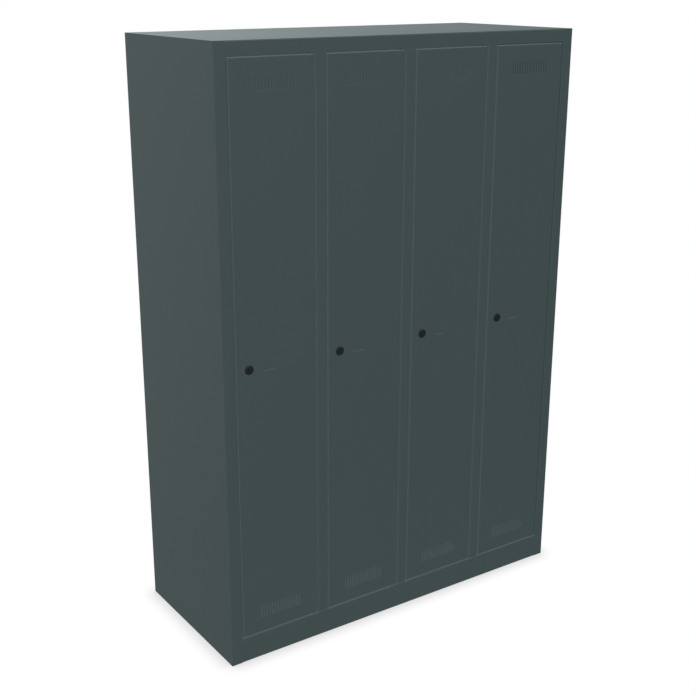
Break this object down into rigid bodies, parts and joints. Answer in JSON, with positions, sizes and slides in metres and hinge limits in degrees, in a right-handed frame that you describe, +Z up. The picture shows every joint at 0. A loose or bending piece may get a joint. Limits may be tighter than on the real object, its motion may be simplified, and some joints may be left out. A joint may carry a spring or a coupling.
{
  "type": "locker cabinet",
  "caption": "Free-standing steel clothes locker with side-by-side bays, inset full-height doors with vents and cam locks, a plinth, and a hat shelf, coat rail and hook in each bay.",
  "frame": {"origin": "on the floor, at the middle of the footprint, which includes the 3 mm that the lock bezels stand proud of the front", "axes": "+X to the right of someone who faces the doors, +Y to the back, +Z up"},
  "size_m": [1.18, 0.503, 1.7],
  "materials": {
    "body_paint": "satin powder coat, dark grey with a green cast",
    "door_paint": "satin powder coat, dark grey with a green cast",
    "lock_black": "smooth black, lightly glossy",
    "zinc": "bright zinc plate",
    "steel": "plain drawn steel",
    "hook_black": "matte moulded plastic"
  },
  "bodies": {
    "cabinet": {"left_side_panel": "body_paint", "right_side_panel": "body_paint", "back_panel": "body_paint", "top_panel": "body_paint", "floor_panel": "body_paint", "header_rail": "body_paint", "plinth_rail": "body_paint", "rear_base_rail": "body_paint", "post_1": "body_paint", "partition_1": "body_paint", "post_2": "body_paint", "partition_2": "body_paint", "post_3": "body_paint", "partition_3": "body_paint", "hat_shelf_1": "body_paint", "coat_rail_1": "steel", "hat_shelf_2": "body_paint", "coat_rail_2": "steel", "hat_shelf_3": "body_paint", "coat_rail_3": "steel", "hat_shelf_4": "body_paint", "coat_rail_4": "steel"},
    "door_1": {"door_1": "door_paint", "door_stiffener_1": "door_paint", "label_holder_1": "door_paint", "upper_pivot_pin_1": "steel", "lower_pivot_pin_1": "steel", "lock_housing_1": "lock_black"},
    "lock_1": {"lock_cylinder_1": "lock_black", "lock_cam_1": "zinc"},
    "hook_1": {"coat_hook_1": "hook_black"},
    "door_2": {"door_2": "door_paint", "door_stiffener_2": "door_paint", "label_holder_2": "door_paint", "upper_pivot_pin_2": "steel", "lower_pivot_pin_2": "steel", "lock_housing_2": "lock_black"},
    "lock_2": {"lock_cylinder_2": "lock_black", "lock_cam_2": "zinc"},
    "hook_2": {"coat_hook_2": "hook_black"},
    "door_3": {"door_3": "door_paint", "door_stiffener_3": "door_paint", "label_holder_3": "door_paint", "upper_pivot_pin_3": "steel", "lower_pivot_pin_3": "steel", "lock_housing_3": "lock_black"},
    "lock_3": {"lock_cylinder_3": "lock_black", "lock_cam_3": "zinc"},
    "hook_3": {"coat_hook_3": "hook_black"},
    "door_4": {"door_4": "door_paint", "door_stiffener_4": "door_paint", "label_holder_4": "door_paint", "upper_pivot_pin_4": "steel", "lower_pivot_pin_4": "steel", "lock_housing_4": "lock_black"},
    "lock_4": {"lock_cylinder_4": "lock_black", "lock_cam_4": "zinc"},
    "hook_4": {"coat_hook_4": "hook_black"}
  },
  "joints": [
    {"name": "door_hinge_1", "type": "hinge", "parent": "cabinet", "child": "door_1", "pos_m": [-0.3145, -0.2415, 0.87], "axis": [0, 0, 1], "range_deg": [0, 110]},
    {"name": "lock_turn_1", "type": "hinge", "parent": "door_1", "child": "lock_1", "pos_m": [-0.513, -0.2485, 0.865], "axis": [0, -1, 0], "range_deg": [0, 90]},
    {"name": "hook_slide_1", "type": "slide", "parent": "cabinet", "child": "hook_1", "axis": [1, 0, 0], "range_m": [-0.141, 0.141]},
    {"name": "door_hinge_2", "type": "hinge", "parent": "cabinet", "child": "door_2", "pos_m": [-0.0285, -0.2415, 0.87], "axis": [0, 0, 1], "range_deg": [0, 110]},
    {"name": "lock_turn_2", "type": "hinge", "parent": "door_2", "child": "lock_2", "pos_m": [-0.227, -0.2485, 0.865], "axis": [0, -1, 0], "range_deg": [0, 90]},
    {"name": "hook_slide_2", "type": "slide", "parent": "cabinet", "child": "hook_2", "axis": [1, 0, 0], "range_m": [-0.132, 0.132]},
    {"name": "door_hinge_3", "type": "hinge", "parent": "cabinet", "child": "door_3", "pos_m": [0.2575, -0.2415, 0.87], "axis": [0, 0, 1], "range_deg": [0, 110]},
    {"name": "lock_turn_3", "type": "hinge", "parent": "door_3", "child": "lock_3", "pos_m": [0.059, -0.2485, 0.865], "axis": [0, -1, 0], "range_deg": [0, 90]},
    {"name": "hook_slide_3", "type": "slide", "parent": "cabinet", "child": "hook_3", "axis": [1, 0, 0], "range_m": [-0.132, 0.132]},
    {"name": "door_hinge_4", "type": "hinge", "parent": "cabinet", "child": "door_4", "pos_m": [0.5435, -0.2415, 0.87], "axis": [0, 0, 1], "range_deg": [0, 110]},
    {"name": "lock_turn_4", "type": "hinge", "parent": "door_4", "child": "lock_4", "pos_m": [0.345, -0.2485, 0.865], "axis": [0, -1, 0], "range_deg": [0, 90]},
    {"name": "hook_slide_4", "type": "slide", "parent": "cabinet", "child": "hook_4", "axis": [1, 0, 0], "range_m": [-0.141, 0.141]}
  ]
}
